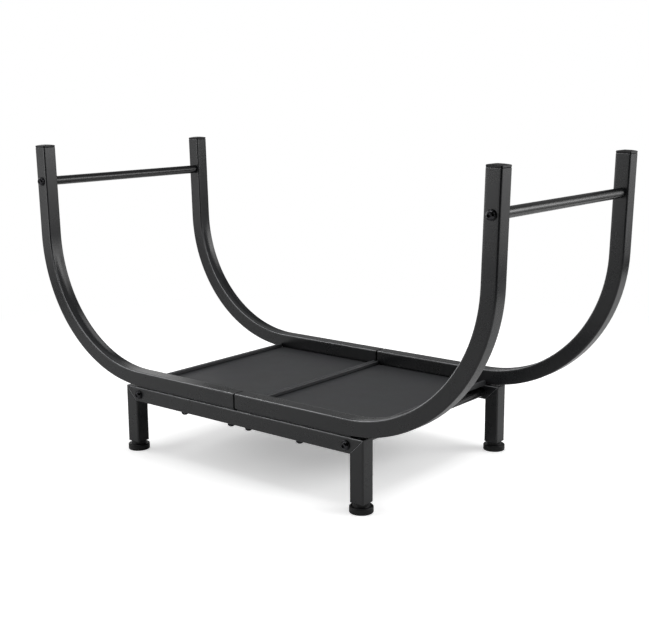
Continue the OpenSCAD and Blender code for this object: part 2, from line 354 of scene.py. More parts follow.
@dataclass(frozen=True)
class PowderCoat(Finish):
    """Satin black polyester powder, sprayed on steel and baked.

    Gives a dark grey-black with a soft sheen, a fine orange-peel grain, and a painted highlight
    along the upper edges: a fine lighter line there, a little glossier.
    """

    # Painted highlight along upper edges: its colour, the faces it runs across, its extra gloss.
    painted_highlight: str = "#b4b5b8"
    highlight_across: tuple[float, float, float] = (0.0, 1.0, 0.0)
    highlight_gloss: float = 0.08
    index: float = 1.45
    grain_mm: float = 1.6
    grain_height_mm: float = 0.006
    grain_sheen: float = 0.008
    cloud_mm: float = 42.0
    cloud_share: float = 0.10
    cloud_sheen: float = 0.03

    def surface(self, tree: bpy.types.NodeTree) -> dict[str | int, object]:
        """Adds grain, clouding and the painted highlight along the upper edges.

        Args:
            tree: the material's nodes.

        Returns:
            A value or an output for each of the shader's inputs, by name.
        """
        place = add_node(tree, "ShaderNodeTexCoord").outputs["Object"]
        # Real grain is about 0.4 mm across; it is drawn four times as coarse so that it shows.
        grain_scale = 1 / (self.grain_mm * MM)
        grain = add_node(
            tree,
            "ShaderNodeTexNoise",
            inputs={"Vector": place, "Scale": grain_scale, "Detail": 2.0, "Roughness": 0.6},
        )
        cloud_scale = 1 / (self.cloud_mm * MM)
        clouds = add_node(
            tree,
            "ShaderNodeTexNoise",
            inputs={"Vector": place, "Scale": cloud_scale, "Detail": 3.0, "Roughness": 0.5},
        )
        edges = self.upper_edges(tree, clouds)
        patchy = add_node(
            tree,
            "ShaderNodeMix",
            {"data_type": "RGBA", "blend_type": "MULTIPLY"},
            {
                MIX_SHARE: self.cloud_share,
                MIX_FIRST: linear(self.colour),
                MIX_SECOND: clouds.outputs["Color"],
            },
        )
        # The coat's colour with the painted highlight mixed in along the upper edges.
        film = add_node(
            tree,
            "ShaderNodeMix",
            {"data_type": "RGBA"},
            {
                MIX_SHARE: edges,
                MIX_FIRST: patchy.outputs[MIX_RESULT],
                MIX_SECOND: linear(self.painted_highlight),
            },
        )
        clouded, pitted = (
            add_node(
                tree,
                "ShaderNodeMapRange",
                inputs={
                    "Value": pattern,
                    "From Min": NOISE_LOW,
                    "From Max": NOISE_HIGH,
                    "To Min": middle - change,
                    "To Max": middle + change,
                },
            )
            for pattern, middle, change in (
                (clouds, self.roughness, self.cloud_sheen),
                (grain, 0.0, self.grain_sheen),
            )
        )
        smoother = add_node(
            tree,
            "ShaderNodeMath",
            {"operation": "MULTIPLY_ADD"},
            {0: edges, 1: -self.highlight_gloss, 2: clouded},
        )
        grained = add_node(tree, "ShaderNodeMath", {"operation": "ADD"}, {0: smoother, 1: pitted})
        bump = add_node(
            tree,
            "ShaderNodeBump",
            inputs={"Strength": 1.0, "Distance": self.grain_height_mm * MM, "Height": grain},
        )
        return {
            "Base Color": film.outputs[MIX_RESULT],
            "Roughness": grained,
            "IOR": self.index,
            "Normal": bump,
        }

    def upper_edges(
        self, tree: bpy.types.NodeTree, patches: bpy.types.Node
    ) -> bpy.types.Node:
        """Finds the rounded upper edges for the painted highlight, by the way their surface faces.

        Args:
            tree: the material's nodes.
            patches: a soft pattern of about 0.5 that breaks the edges up.

        Returns:
            A node that gives 0 on flats and near 1 along an upper edge.
        """
        normal = add_node(tree, "ShaderNodeNewGeometry").outputs["Normal"]
        upwards = add_node(tree, "ShaderNodeSeparateXYZ", inputs={0: normal}).outputs["Z"]
        across = add_node(
            tree,
            "ShaderNodeVectorMath",
            {"operation": "DOT_PRODUCT"},
            {0: normal, 1: self.highlight_across},
        ).outputs["Value"]
        squared = add_node(
            tree, "ShaderNodeMath", {"operation": "MULTIPLY"}, {0: across, 1: across}
        )
        rest = add_node(tree, "ShaderNodeMath", {"operation": "SUBTRACT"}, {0: 1.0, 1: squared})
        # This product is 0 on flats and highest, 0.25, halfway round a corner.
        tilt = add_node(
            tree, "ShaderNodeMath", {"operation": "MULTIPLY"}, {0: squared, 1: rest}
        )
        corner, upper = (
            add_node(
                tree,
                "ShaderNodeMapRange",
                {"interpolation_type": "SMOOTHSTEP"},
                {"Value": value, "From Min": low, "From Max": high},
            )
            for value, low, high in ((tilt, 0.16, 0.245), (upwards, 0.02, 0.42))
        )
        line = add_node(tree, "ShaderNodeMath", {"operation": "MULTIPLY"}, {0: corner, 1: upper})
        strength = add_node(
            tree,
            "ShaderNodeMapRange",
            inputs={"Value": patches, "From Min": NOISE_LOW, "From Max": 0.6, "To Min": 0.55},
        )
        return add_node(
            tree, "ShaderNodeMath", {"operation": "MULTIPLY"}, {0: line, 1: strength}
        )


@dataclass(frozen=True)
class MouldedPlastic(Finish):
    """Black polypropylene, injection moulded in a spark-eroded tool.

    Gives a near-black with an even, fine-pitted matt surface and soft highlights at its edges.
    """

    index: float = 1.4
    pit_mm: float = 1.2
    pit_depth_mm: float = 0.02
    blotch_mm: float = 9.0
    blotch_sheen: float = 0.06

    def surface(self, tree: bpy.types.NodeTree) -> dict[str | int, object]:
        """Adds the tool's pitting and a slow change of sheen.

        Args:
            tree: the material's nodes.

        Returns:
            A value or an output for each of the shader's inputs, by name.
        """
        place = add_node(tree, "ShaderNodeTexCoord").outputs["Object"]
        # Real pits are about 0.1 mm; they are drawn twelve times as coarse so that they show.
        pits = add_node(
            tree,
            "ShaderNodeTexVoronoi",
            inputs={"Vector": place, "Scale": 1 / (self.pit_mm * MM)},
        )
        bump = add_node(
            tree, "ShaderNodeBump", inputs={"Distance": self.pit_depth_mm * MM, "Height": pits}
        )
        blotch = add_node(
            tree,
            "ShaderNodeTexNoise",
            inputs={"Vector": place, "Scale": 1 / (self.blotch_mm * MM), "Detail": 2.0},
        )
        sheen = add_node(
            tree,
            "ShaderNodeMapRange",
            inputs={
                "Value": blotch,
                "To Min": self.roughness - self.blotch_sheen,
                "To Max": self.roughness + self.blotch_sheen,
            },
        )
        return super().surface(tree) | {"Roughness": sheen, "IOR": self.index, "Normal": bump}


@dataclass(frozen=True)
class PlatedSteel(Finish):
    """Cold-formed steel with a thin layer on it, black oxide or zinc.

    Gives a metal in the layer's colour, with faint tumbling marks and small bright glints.
    """

    mark_mm: float = 0.5
    mark_depth_mm: float = 0.01
    mark_sheen: float = 0.08

    def surface(self, tree: bpy.types.NodeTree) -> dict[str | int, object]:
        """Adds the fine marks that tumbling and plating leave.

        Args:
            tree: the material's nodes.

        Returns:
            A value or an output for each of the shader's inputs, by name.
        """
        place = add_node(tree, "ShaderNodeTexCoord").outputs["Object"]
        # Real marks are about 0.1 mm long; they are drawn five times as coarse so that they show.
        marks = add_node(
            tree,
            "ShaderNodeTexNoise",
            inputs={"Vector": place, "Scale": 1 / (self.mark_mm * MM), "Detail": 3.0},
        )
        sheen = add_node(
            tree,
            "ShaderNodeMapRange",
            inputs={
                "Value": marks,
                "To Min": self.roughness - self.mark_sheen,
                "To Max": self.roughness + self.mark_sheen,
            },
        )
        bump = add_node(
            tree, "ShaderNodeBump", inputs={"Distance": self.mark_depth_mm * MM, "Height": marks}
        )
        return super().surface(tree) | {"Metallic": 1.0, "Roughness": sheen, "Normal": bump}


# Satin black tube: its flats stay dark, its rounded corners catch light and dark lines.
# Its upper edges get a near-white painted highlight.
TUBE_COAT = PowderCoat("powder_coat_on_square_tube", Slot.TUBE, "#1c1d1f", 0.28)
# The same powder on wide flat sheet, duller, and painted paler than on tube for the light that
# the deck catches. Its lips get a fainter painted highlight.
SHEET_COAT = PowderCoat(
    "powder_coat_on_folded_sheet",
    Slot.SHEET,
    "#37383a",
    0.5,
    # A fainter painted highlight along the lips' upper edges.
    painted_highlight="#5a5b5d",
    highlight_across=(1.0, 0.0, 0.0),
)
# On round bar it lies smoother, with one bright streak along the top and black below.
BAR_COAT = PowderCoat(
    "powder_coat_on_round_bar",
    Slot.BAR,
    "#121314",
    0.26,
    index=1.5,
    grain_height_mm=0.002,
    grain_sheen=0.005,
)
# Caps, pads and inserts are the blackest and dullest pieces.
BLACK_PLASTIC = MouldedPlastic("moulded_black_polypropylene", Slot.PLASTIC, "#08080a", 0.45)
# Screw heads are black too, but their domes and sockets glint.
BLACK_SCREW = PlatedSteel("black_oxide_screw_steel", Slot.SCREW, "#38383a", 0.22)
# The only light metal: stems, which show when a foot is let down, and the nuts.
ZINC = PlatedSteel("zinc_plated_steel", Slot.PLATED, "#b4b6b8", 0.36)


# Forms


def polar(radius: float, turn: float, height: float, middle: Sequence[float] = (0, 0)) -> Vector:
    """Gives a point by its radius and angle.

    Args:
        radius: its distance from the middle.
        turn: its angle from +X, in radians.
        height: its height.
        middle: X and Y of the middle.

    Returns:
        The point.
    """
    return Vector(
        (middle[0] + radius * math.cos(turn), middle[1] + radius * math.sin(turn), height)
    )


def round_ring(radius: float, height: float, count: int) -> Ring:
    """Makes a circle of so many points, anticlockwise from +X."""
    return [polar(radius, math.tau * i / count, height) for i in range(count)]


def hex_ring(flats: float, height: float, count: int, turned_to: float = math.inf) -> Ring:
    """Makes a hexagon of points, with its corners turned down.

    Args:
        flats: width across the flats.
        height: its height.
        count: how many points, a multiple of six.
        turned_to: radius that the corners are turned down to.

    Returns:
        The points, anticlockwise from +X, which goes through a corner.
    """
    sixth = math.tau / 6
    ring = []
    for i in range(count):
        turn = math.tau * i / count
        radius = min(flats / 2 / math.cos(turn % sixth - sixth / 2), turned_to)
        ring.append(polar(radius, turn, height))
    return ring


def square_ring(
    side: float, corner: float, height: float, steps: int = 5, along: int = 0
) -> Ring:
    """Makes a square of points with rounded corners.

    Args:
        side: its side length.
        corner: its corner radius.
        height: its height.
        steps: how many steps round each corner.
        along: how many points lie along each straight side, between its corners.

    Returns:
        The points, anticlockwise from the lower end of the first corner.
    """
    ring = []
    straight = side / 2 - corner
    for quarter in range(4):
        start = quarter * math.tau / 4
        middle = Matrix.Rotation(start, 2) @ Vector((straight, straight))
        for step in range(steps + 1):
            ring.append(polar(corner, start + math.tau / 4 * step / steps, height, middle))
        onwards = Matrix.Rotation(start, 2) @ Vector((-2 * straight / (along + 1), 0))
        for _ in range(along):
            last = ring[-1]
            ring.append(Vector((last.x + onwards.x, last.y + onwards.y, height)))
    return ring


def round_like(ring: Ring, radius: float, height: float) -> Ring:
    """Makes a circle whose points lie in the same directions as another ring's."""
    return [polar(radius, math.atan2(point.y, point.x), height) for point in ring]


def lathe(profile: Sequence[tuple[float, float]], count: int) -> list[Ring]:
    """Turns a profile, the radius and height of each ring, into rings of so many points."""
    return [round_ring(radius, height, count) for radius, height in profile]


def washer_rings(outside: float, inside: float, height: float, count: int = 40) -> list[Ring]:
    """Makes the closed rings of a flat washer lying on the origin, its top edge rolled over.

    Args:
        outside: its outside diameter.
        inside: its hole's diameter.
        height: its thickness.
        count: how many points round.

    Returns:
        The rings, the last of which joins the first.
    """
    wide, hole = outside / 2, inside / 2
    profile = [
        (hole, 0.15),
        (hole + 0.15, 0.0),
        (wide - 0.2, 0.0),
        (wide, 0.2),
        (wide, height - 0.45),
        (wide - 0.12, height - 0.15),
        (wide - 0.45, height),
        (hole + 0.2, height),
        (hole, height - 0.2),
    ]
    return lathe(profile, count)


@dataclass(frozen=True)
class Thread:
    """A screw thread's outside diameter and pitch, and its depth as a share of the pitch."""

    diameter: float
    pitch: float
    depth_share: float = 0.54

    def rings(self, low: float, high: float, count: int = 18, rows: int = 4) -> list[Ring]:
        """Makes the rings of a threaded shank, with a thread that runs out at both ends.

        Args:
            low: height of its lower end.
            high: height of its upper end.
            count: how many points round.
            rows: how many rings to a turn.

        Returns:
            The rings, from low to high.
        """
        depth = self.depth_share * self.pitch
        total = max(2, round((high - low) / self.pitch * rows))
        rings = []
        for row in range(total + 1):
            height = low + (high - low) * row / total
            runout = min(1.0, (height - low) / self.pitch, (high - height) / self.pitch)
            ring = []
            for i in range(count):
                phase = (height / self.pitch - i / count) % 1.0
                radius = self.diameter / 2 - depth * abs(2 * phase - 1) * runout
                ring.append(polar(radius, math.tau * i / count, height))
            rings.append(ring)
        return rings


@dataclass(frozen=True)
class Piece:
    """A made piece: its name, the CAD nodes it stands for, its finish and its body."""

    name: str
    nodes: tuple[str, ...]
    finish: Finish
    body: str = "frame"

    @property
    def slot(self) -> str:
        """Name of the record's slot that the finish belongs to."""
        return self.finish.slot.value


@dataclass
class Skin:
    """Points and faces of one piece, gathered form by form, and the holes to be cut in it."""

    points: list[Vector] = field(default_factory=list)
    faces: list[tuple[int, ...]] = field(default_factory=list)
    holes: list["Skin"] = field(default_factory=list)

    def loft(
        self, rings: Sequence[Ring], place: Matrix | None = None, closed: bool = False
    ) -> None:
        """Joins rings of equal length into one body.

        Args:
            rings: the rings in order.
            place: where the body goes; without it the rings are there already.
            closed: joins the last ring to the first; otherwise a face covers each end.
        """
        if place is None:
            place = Matrix.Identity(4)
        count = len(rings[0])
        first = len(self.points)
        for ring in rings:
            self.points.extend(place @ point for point in ring)
        for row in range(len(rings) if closed else len(rings) - 1):
            low = first + row * count
            high = first + (row + 1) % len(rings) * count
            for i in range(count):
                after = (i + 1) % count
                self.faces.append((low + i, low + after, high + after, high + i))
        if not closed:
            last = len(self.points) - count
            self.faces.append(tuple(first + i for i in reversed(range(count))))
            self.faces.append(tuple(last + i for i in range(count)))

    def drill(self, place: Matrix, radius: float, low: float, high: float) -> None:
        """Notes a round hole along a place's Z axis, cut when the piece is made.

        Args:
            place: where the hole's axis is.
            radius: the hole's radius.
            low: where it starts along the axis.
            high: where it ends.
        """
        hole = Skin()
        hole.loft(lathe([(radius, low), (radius, high)], DRILL_POINTS), place)
        self.holes.append(hole)

    def mesh(self, name: str) -> bpy.types.Mesh:
        """Turns the skin into a mesh in metres, its holes not yet cut.

        Args:
            name: the mesh's name.

        Returns:
            The mesh, with its faces pointing outwards.
        """
        mesh = bpy.data.meshes.new(name)
        mesh.from_pydata([point * MM for point in self.points], [], self.faces)
        work = bmesh.new()
        work.from_mesh(mesh)
        bmesh.ops.recalc_face_normals(work, faces=work.faces)
        work.to_mesh(mesh)
        work.free()
        return mesh

    @staticmethod
    def cut(mesh: bpy.types.Mesh, hole: "Skin") -> bpy.types.Mesh:
        """Cuts a hole into a mesh.

        Args:
            mesh: the mesh.
            hole: the hole's form.

        Returns:
            The cut mesh, which takes the first one's name.
        """
        name = mesh.name
        whole = put_in_scene("uncut", mesh)
        drill = put_in_scene("drill", hole.mesh("drill"))
        change = whole.modifiers.new("hole", "BOOLEAN")
        change.operation, change.solver, change.object = "DIFFERENCE", "EXACT", drill
        graph = bpy.context.evaluated_depsgraph_get()
        result = bpy.data.meshes.new_from_object(whole.evaluated_get(graph))
        # A mesh takes its object with it when it is removed.
        bpy.data.meshes.remove(drill.data)
        bpy.data.meshes.remove(mesh)
        result.name = name
        return result

    def make(self, piece: Piece) -> bpy.types.Object:
        """Turns the skin into an object that stands for its CAD nodes.

        Args:
            piece: what it is.

        Returns:
            The object, riding on its body.
        """
        mesh = self.mesh(piece.name)
        for hole in self.holes:
            mesh = self.cut(mesh, hole)
        mesh.shade_smooth()
        mesh.set_sharp_from_angle(angle=math.radians(SHARP_FROM))
        mesh.materials.append(piece.finish.material())
        made = put_in_scene(piece.name, mesh)
        made.modifiers.new("even_shading", "WEIGHTED_NORMAL").keep_sharp = True
        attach(made, piece.body)
        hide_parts(*piece.nodes)
        piece.slot
        LOG.info("%s: %d faces, for %s", piece.name, len(mesh.polygons), ", ".join(piece.nodes))
        return made


# Sub-assemblies


@dataclass
class BentArms:
    """Half arms of square tube, whose inner wall is pressed in a little along the bend."""

    layout: RackLayout
    half_seam: float = 1.1
    seam_edge: float = 0.5
    top_edge: float = 0.3
    bend_steps: int = 36
    pressed_in: float = 1.5
    press_runout: float = 24.0
    press_margin: float = 0.6
    wall_share: float = 0.49
    nut_hole_depth: float = 3.0
    nut_hole_spare: float = 0.5

    def build(self) -> None:
        """Makes the four half arms."""
        layout = self.layout
        underside = layout.tube + layout.sheet
        for corner in CORNERS:
            skin = Skin()
            outside, inside = self.tube_rings(corner)
            skin.loft(outside + inside[::-1], closed=True)
            face = layout.outer_face(corner, layout.post_bar_x, layout.post_bar_z)
            skin.drill(face, layout.bar_screw_hole, -layout.tube - DRILL_SPARE, DRILL_SPARE)
            for x in layout.arm_screws_x:
                skin.drill(
                    layout.below_rail(corner, x),
                    layout.arm_screw_hole,
                    -underside - self.nut_hole_depth,
                    -underside + self.nut_hole_spare,
                )
            name = f"arm_{corner.name}"
            skin.make(Piece(f"bent_{name}", (name,), TUBE_COAT))

    def tube_rings(self, corner: Corner) -> tuple[list[Ring], list[Ring]]:
        """Gives the tube's sections, from the seam round the bend to the cap.

        Args:
            corner: the arm's corner.

        Returns:
            The rings of the outside and of the inside.
        """
        layout = self.layout
        base = layout.bend_x - self.half_seam
        post = layout.rim_reach - layout.cap_rim
        flat, upright = 90.0, layout.post_lean
        turn = flat - upright
        seam, top = self.seam_edge, self.top_edge
        # Each section's lean, its reach along the tube, and how far its sides draw in.
        sections = [(flat, -base, seam), (flat, 0.3 * seam - base, 0.3 * seam)]
        sections += [(flat, seam - base, 0.0)]
        sections += [(flat, -base * share, 0.0) for share in (0.8, 0.6, 0.4, 0.2)]
        sections += [
            (flat - turn * step / self.bend_steps, 0.0, 0.0)
            for step in range(self.bend_steps + 1)
        ]
        sections += [(upright, post * share, 0.0) for share in (0.25, 0.5, 0.75)]
        sections += [(upright, post - top, 0.0), (upright, post, top)]
        wall = layout.tube_wall
        outside, inside = [], []
        for lean, reach, edge in sections:
            place = layout.along_arm(corner, lean, reach)
            press = self.pressed_in * self.press_share(flat - lean, turn)
            for rings, side, round_off in (
                (outside, layout.tube - 2 * edge, layout.tube_corner),
                (inside, layout.tube - 2 * wall, layout.tube_corner - wall),
            ):
                ring = square_ring(side, round_off, 0.0, steps=6, along=7)
                rings.append([place @ self.pressed(point, side, press) for point in ring])
        return outside, inside

    def press_share(self, turned: float, whole: float) -> float:
        """Gives the share of its full depth that the pressed wall has so far round the bend."""
        run = max(0.0, min(1.0, min(turned, whole - turned) / self.press_runout))
        return run * run * (3 - 2 * run)

    def pressed(self, point: Vector, side: float, press: float) -> Vector:
        """Presses in a point of the section if it lies on the wall inside the bend.

        Args:
            point: the point.
            side: the section's side length.
            press: depth of the pressed wall at its middle.

        Returns:
            The moved point.
        """
        if point.x >= -self.wall_share * side:
            return point
        across = min(1.0, abs(point.y) / (side / 2 - self.press_margin))
        return Vector((point.x + press * (1 - across**2) ** 2, point.y, point.z))


@dataclass
class WeldedBases:
    """Front and back base: a rail and two legs, mitred, welded, and ground almost flush."""

    layout: RackLayout
    weld_width: float = 0.5
    weld_depth: float = 0.3
    foot_edge: float = 0.4
    rail_sections: tuple[float, float] = (60.0, 130.0)

    def build(self) -> None:
        """Makes both bases."""
        layout = self.layout
        for row in Row:
            skin = Skin()
            skin.loft(self.tube_rings(row), closed=True)
            for side in Side:
                corner = Corner(row, side)
                face = layout.outer_face(corner, layout.tie_bar_x, layout.rail_z)
                holes = [(face, layout.bar_screw_hole)]
                holes += [
                    (layout.below_rail(corner, x), layout.arm_screw_hole)
                    for x in layout.arm_screws_x
                ]
                for place, radius in holes:
                    skin.drill(place, radius, -layout.tube - DRILL_SPARE, DRILL_SPARE)
            name = row.name.lower()
            nodes = (f"rail_{name}", f"leg_{name}_left", f"leg_{name}_right")
            skin.make(Piece(f"welded_base_{name}", nodes, TUBE_COAT))

    def tube_rings(self, row: Row) -> list[Ring]:
        """Gives the sections from the left foot over the rail to the right foot and back inside.

        Args:
            row: front or back.

        Returns:
            The closed rings.
        """
        layout = self.layout
        wall = layout.tube_wall
        outer = self.half_rings(layout.tube, layout.tube_corner, self.foot_edge, self.weld_depth)
        inner = self.half_rings(layout.tube - 2 * wall, layout.tube_corner - wall, 0.0, 0.0)
        rings = []
        for half, onwards in ((outer, 1), (inner, -1)):
            left = [[Vector((-point.x, point.y, point.z)) for point in ring] for ring in half]
            rings += (left + half[::-1])[::onwards]
        shift = Vector((0, row.value * layout.row_y, 0))
        return [[point + shift for point in ring] for ring in rings]

    def half_rings(self, side: float, corner: float, edge: float, weld: float) -> list[Ring]:
        """Gives one skin's sections from the right foot to near the middle of the rail.

        Args:
            side: the section's side length.
            corner: its corner radius.
            edge: how far the foot's edge is rounded.
            weld: how deep the weld's groove is.

        Returns:
            The rings.
        """
        leg_x, rail_z, foot = self.layout.leg_x, self.layout.rail_z, self.layout.leg_end
        rings = []
        for shrink, height in ((edge, foot), (0.3 * edge, foot + 0.3 * edge), (0.0, foot + edge)):
            section = square_ring(side - 2 * shrink, corner, 0.0, steps=6, along=1)
            rings.append([Vector((leg_x + point.x, point.y, height)) for point in section])
        # From here each section is sheared into the mitre: below the weld, in its groove,
        # beyond it, and then along the rail.
        mitred = [(0.0, 0.0, self.weld_width), (weld, 0.0, 0.0), (0.0, self.weld_width, 0.0)]
        mitred += [(0.0, inwards, 0.0) for inwards in self.rail_sections]
        for shrink, inwards, down in mitred:
            section = square_ring(side - 2 * shrink, corner, 0.0, steps=6, along=1)
            rings.append(
                [
                    Vector((leg_x + point.x - inwards, point.y, rail_z + point.x - down))
                    for point in section
                ]
            )
        return rings


@dataclass
class DeckSheets:
    """The two folded sheets, which keep their CAD forms."""

    nodes: dict[str, bpy.types.Object]

    def build(self) -> None:
        """Coats both sheets."""
        for side in Side:
            sheet = self.nodes[f"deck_{side.name.lower()}"]
            sheet.data.materials.clear()
            sheet.data.materials.append(SHEET_COAT.material())
            LOG.info("%s: CAD form, %s", sheet.name, SHEET_COAT.name)


@dataclass
class PostCaps:
    """Domed plastic caps, each with a finned plug pushed into its post."""

    layout: RackLayout
    dome: float = 1.5
    edge: float = 0.5
    groove: float = 0.7
    groove_depth: float = 0.55
    groove_edge: float = 0.15
    plug_side: float = 16.8
    plug_corner: float = 0.7
    plug_depth: float = 14.0
    plug_wall: float = 1.6
    plug_chamfer: float = 0.5
    plug_chamfer_height: float = 0.8
    fin_side: float = 17.5
    fin_pitch: float = 4.0
    fins: int = 3

    def build(self) -> None:
        """Makes the four caps."""
        layout = self.layout
        for corner in CORNERS:
            skin = Skin()
            place = layout.along_arm(corner, layout.post_lean, layout.rim_reach - layout.cap_rim)
            skin.loft(self.plug_rings() + self.flange_rings(), place)
            name = f"cap_{corner.name}"
            skin.make(Piece(f"domed_{name}", (name,), BLACK_PLASTIC))

    def plug_rings(self) -> list[Ring]:
        """Gives the hollow plug, from its inner ceiling down and up its outside.

        Returns:
            The rings, up to the flange's underside.
        """
        hollow, side, deep = self.plug_side - 2 * self.plug_wall, self.plug_side, self.plug_depth
        steps = [
            (hollow, -self.plug_wall),
            (hollow, -deep),
            (side - 2 * self.plug_chamfer, -deep),
            (side, self.plug_chamfer_height - deep),
        ]
        for fin in range(self.fins, 0, -1):
            foot = -fin * self.fin_pitch
            steps += [(side, foot), (self.fin_side, foot + 0.4)]
            steps += [(self.fin_side, foot + 0.8), (side, foot + 1.0)]
        steps.append((side, 0.0))
        return [square_ring(width, self.plug_corner, height) for width, height in steps]

    def flange_rings(self) -> list[Ring]:
        """Gives the flange: the grooved underside, the rim and the dome.

        Returns:
            The rings, up to the middle of the dome.
        """
        tube, corner, edge = self.layout.tube, self.layout.tube_corner, self.edge
        rings = [
            square_ring(tube - 2 * self.groove_depth, corner, 0.0),
            square_ring(tube - 2 * self.groove_edge, corner, self.groove * 0.75),
            square_ring(tube, corner, self.groove),
        ]
        half_diagonal = tube / math.sqrt(2)
        outline = square_ring(tube, corner, 0.0)
        # Shares of the outline, and how far each lies below the dome at the rounded edge.
        domed = [(1.0, edge), (0.985, 0.3 * edge)]
        domed += [(share, 0.0) for share in (0.955, 0.88, 0.7, 0.45, 0.15)]
        for share, drop in domed:
            ring = []
            for point in outline:
                reach = Vector((point.x, point.y)).length * share
                height = self.layout.cap_rim + self.dome * (1 - (reach / half_diagonal) ** 2) - drop
                ring.append(Vector((point.x * share, point.y * share, height)))
            rings.append(ring)
        return rings


@dataclass
class RoundBars:
    """Round bars along Y with a tapped hole in each end: two between the posts, two low down."""

    layout: RackLayout
    diameter: float = 12.4
    chamfer: float = 0.7
    hole_depth: float = 20.0
    hole_diameter: float = 6.1
    hole_chamfer: float = 0.5
    drill_point: float = 1.6
    drill_tip: float = 0.3
    count: int = 48

    def build(self) -> None:
        """Makes the four bars."""
        along = Matrix.Rotation(math.radians(90), 4, "X")
        for side in Side:
            for kind, (x, z) in self.layout.bars.items():
                skin = Skin()
                place = Matrix.Translation((side.value * x, 0, z)) @ along
                skin.loft(lathe(self.profile(), self.count), place)
                name = f"{kind}_{side.name.lower()}"
                skin.make(Piece(f"turned_{name}", (name,), BAR_COAT))

    def profile(self) -> list[tuple[float, float]]:
        """Gives the bar's profile from the bottom of one hole to the bottom of the other.

        Returns:
            Radius and height of each ring.
        """
        end = self.layout.depth / 2 - self.layout.tube
        radius, hole, chamfer = self.diameter / 2, self.hole_diameter / 2, self.chamfer
        half = [
            (self.drill_tip, end - self.hole_depth - self.drill_point),
            (hole, end - self.hole_depth),
            (hole, end - self.hole_chamfer),
            (hole + self.hole_chamfer, end),
            (radius - chamfer, end),
            (radius - 0.3 * chamfer, end - 0.3 * chamfer),
            (radius, end - chamfer),
            (radius, end * 0.6),
            (radius, end * 0.2),
        ]
        return [(r, -z) for r, z in half] + [(r, z) for r, z in reversed(half)]


@dataclass(frozen=True)
class DomedScrew:
    """A domed screw with a hexagon socket, its head above the origin and its shank below."""

    thread: Thread
    length: float
    head_diameter: float
    head_height: float
    socket: float
    cheek: float = 0.8
    flat_share: float = 0.57
    socket_share: float = 0.62
    edge: float = 0.25
    tip: float = 0.8
    dome_steps: int = 7
    head_points: int = 36
    tip_points: int = 18

    def add(self, skin: Skin, place: Matrix, turned: float) -> None:
        """Adds the screw to a skin.

        Args:
            skin: the skin.
            place: where it goes.
            turned: angle at which it stopped when it was tightened.
        """
        place = place @ Matrix.Rotation(math.radians(turned), 4, "Z")
        skin.loft(self.head_rings(), place)
        tip = round_ring(self.thread.diameter / 2 - self.tip, -self.length, self.tip_points)
        skin.loft([tip, *self.thread.rings(-self.length + self.tip, 0.2)], place)

    def head_rings(self) -> list[Ring]:
        """Gives the head from the bottom of its socket, over the dome, to its underside.

        Returns:
            The rings.
        """
        top, flats, count = self.head_height, self.socket, self.head_points
        floor = top - self.socket_share * top
        flat, wide = self.flat_share * self.head_diameter / 2, self.head_diameter / 2
        rings = [
            round_ring(0.2, floor - 0.5, count),
            hex_ring(flats - 0.3, floor, count),
            hex_ring(flats, floor + 0.2, count),
            hex_ring(flats, top - 0.3, count),
            round_ring(flats / math.sqrt(3) + 0.12, top - 0.06, count),
            round_ring(flat - 0.15, top, count),
        ]
        # The dome is part of a sphere, from the flat top down to the cheek.
        rise = top - self.cheek
        below = (wide**2 - flat**2 - rise**2) / (2 * rise)
        dome = math.hypot(wide, below)
        for step in range(1, self.dome_steps + 1):
            height = top - rise * step / self.dome_steps
            radius = math.sqrt(dome**2 - (height - self.cheek + below) ** 2)
            rings.append(round_ring(radius, height, count))
        rings.append(round_ring(wide, self.edge, count))
        rings.append(round_ring(wide - self.edge, 0.0, count))
        rings.append(round_ring(self.thread.diameter / 2 - 0.2, 0.0, count))
        return rings


@dataclass
class BarScrews:
    """Screws and washers that hold the round bars from the front and from the back."""

    layout: RackLayout
    screw: DomedScrew = DomedScrew(Thread(6.0, 1.0), 35.0, 10.5, 3.3, 4.0)
    washer: float = 12.0
    washer_hole: float = 6.4
    washer_height: float = 1.6
    first_turn: float = 17.0
    turn_by_corner: float = 23.0
    turn_by_kind: float = 11.0

    def build(self) -> None:
        """Makes the post bars' screws, the tie bars' screws and the washers of both."""
        washers = Skin()
        rings = washer_rings(self.washer, self.washer_hole, self.washer_height)
        seat = Matrix.Translation((0, 0, self.washer_height))
        for number, (kind, (x, z)) in enumerate(self.layout.bars.items()):
            screws = Skin()
            for place, corner in enumerate(CORNERS):
                face = self.layout.outer_face(corner, x, z)
                washers.loft(rings, face, closed=True)
                turned = self.first_turn + self.turn_by_corner * place + self.turn_by_kind * number
                self.screw.add(screws, face @ seat, turned)
            screws.make(Piece(f"domed_{kind}_screws", (f"{kind}_screws",), BLACK_SCREW))
        washers.make(Piece("rolled_bar_washers", ("bar_washers",), BLACK_SCREW))


